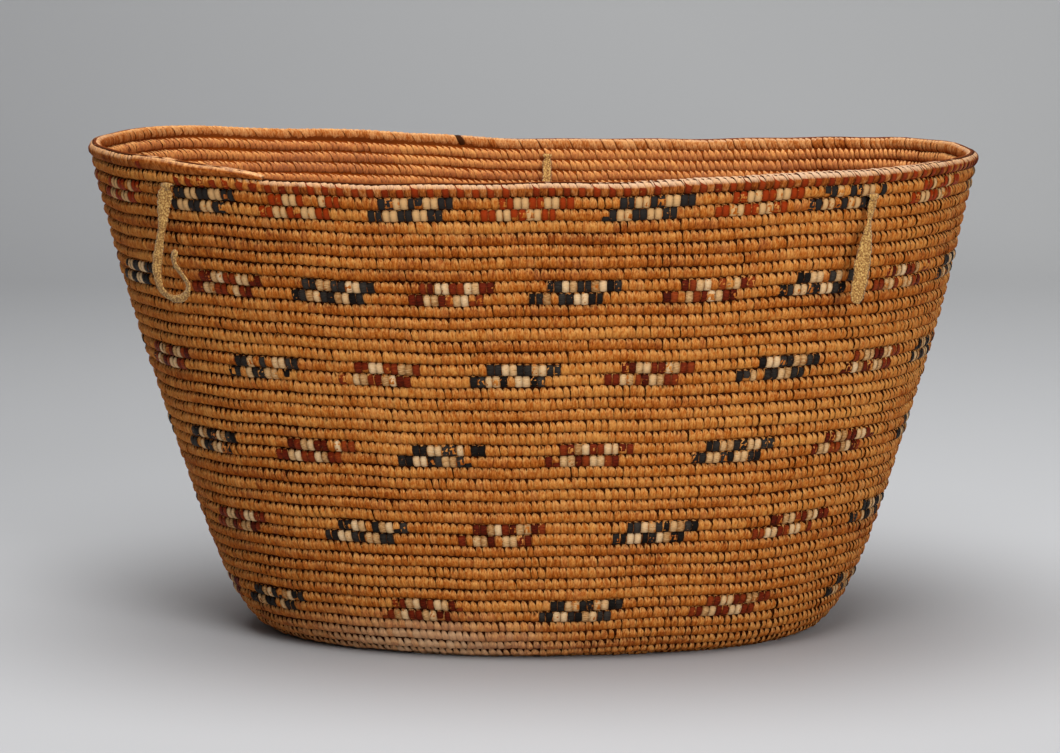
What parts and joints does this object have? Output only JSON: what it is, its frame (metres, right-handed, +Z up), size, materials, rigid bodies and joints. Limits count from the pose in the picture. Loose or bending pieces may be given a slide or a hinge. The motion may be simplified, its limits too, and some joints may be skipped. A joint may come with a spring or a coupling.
{
  "type": "storage basket",
  "caption": "Open oval storage basket of coiled cedar root with a flared wall, a saddle-shaped rim whose coil tapers off at the front left, and short hide ties.",
  "frame": {"origin": "middle of the base, on the flat underside that the basket stands on", "axes": "+X along the length towards the right end seen from the front, +Y from the front to the back, +Z up; the front is at -Y"},
  "size_m": [0.5659, 0.4391, 0.319],
  "materials": {
    "cedar_root": "split cedar root, satin, worn",
    "worn_root": "split cedar root, rubbed pale and smooth",
    "red_bark": "cherry bark strip, dark red, satin",
    "black_bark": "dyed cherry bark strip, near black, satin",
    "pale_strip": "pale grass stem or bast strip, dry and matt",
    "hide": "soft tanned hide, matt"
  },
  "bodies": {
    "basket": {"base_coil": "cedar_root", "wall_coil_01": "cedar_root", "wall_coil_02": "cedar_root", "wall_coil_03": "cedar_root", "wall_coil_04": "cedar_root", "wall_coil_05": "cedar_root", "wall_coil_06": "cedar_root", "wall_coil_07": "cedar_root", "wall_coil_08": "cedar_root", "wall_coil_09": "cedar_root", "wall_coil_10": "cedar_root", "wall_coil_11": "cedar_root", "wall_coil_12": "cedar_root", "wall_coil_13": "cedar_root", "wall_coil_14": "cedar_root", "wall_coil_15": "cedar_root", "wall_coil_16": "cedar_root", "wall_coil_17": "cedar_root", "wall_coil_18": "cedar_root", "wall_coil_19": "cedar_root", "wall_coil_20": "cedar_root", "wall_coil_21": "cedar_root", "wall_coil_22": "cedar_root", "wall_coil_23": "cedar_root", "wall_coil_24": "cedar_root", "wall_coil_25": "cedar_root", "wall_coil_26": "cedar_root", "wall_coil_27": "cedar_root", "wall_coil_28": "cedar_root", "wall_coil_29": "cedar_root", "wall_coil_30": "cedar_root", "wall_coil_31": "cedar_root", "wall_coil_32": "cedar_root", "wall_coil_33": "cedar_root", "wall_coil_34": "cedar_root", "wall_coil_35": "cedar_root", "wall_coil_36": "cedar_root", "wall_coil_37": "cedar_root", "wall_coil_38": "cedar_root", "wall_coil_39": "cedar_root", "wall_coil_40": "cedar_root", "wall_coil_41": "cedar_root", "wall_coil_42": "cedar_root", "rim_coil": "worn_root", "tie_front_left_knot": "hide", "tie_front_right_knot": "hide", "tie_back_knot": "hide"},
    "front_left_tie": {"tie_front_left": "hide"},
    "front_right_tie": {"tie_front_right": "hide"},
    "back_tie": {"tie_back": "hide"}
  },
  "joints": [
    {"name": "front_left_tie_lift", "type": "hinge", "parent": "basket", "child": "front_left_tie", "pos_m": [-0.22193, -0.16156, 0.29789], "axis": [-0.7596, 0.6504, 0], "range_deg": [0, 120]},
    {"name": "front_right_tie_lift", "type": "hinge", "parent": "basket", "child": "front_right_tie", "pos_m": [0.20317, -0.17417, 0.29245], "axis": [-0.8371, -0.5471, 0], "range_deg": [0, 120]},
    {"name": "back_tie_lift", "type": "hinge", "parent": "basket", "child": "back_tie", "pos_m": [0.0094, 0.20316, 0.29094], "axis": [-1, 0.001, 0], "range_deg": [0, 120]}
  ]
}
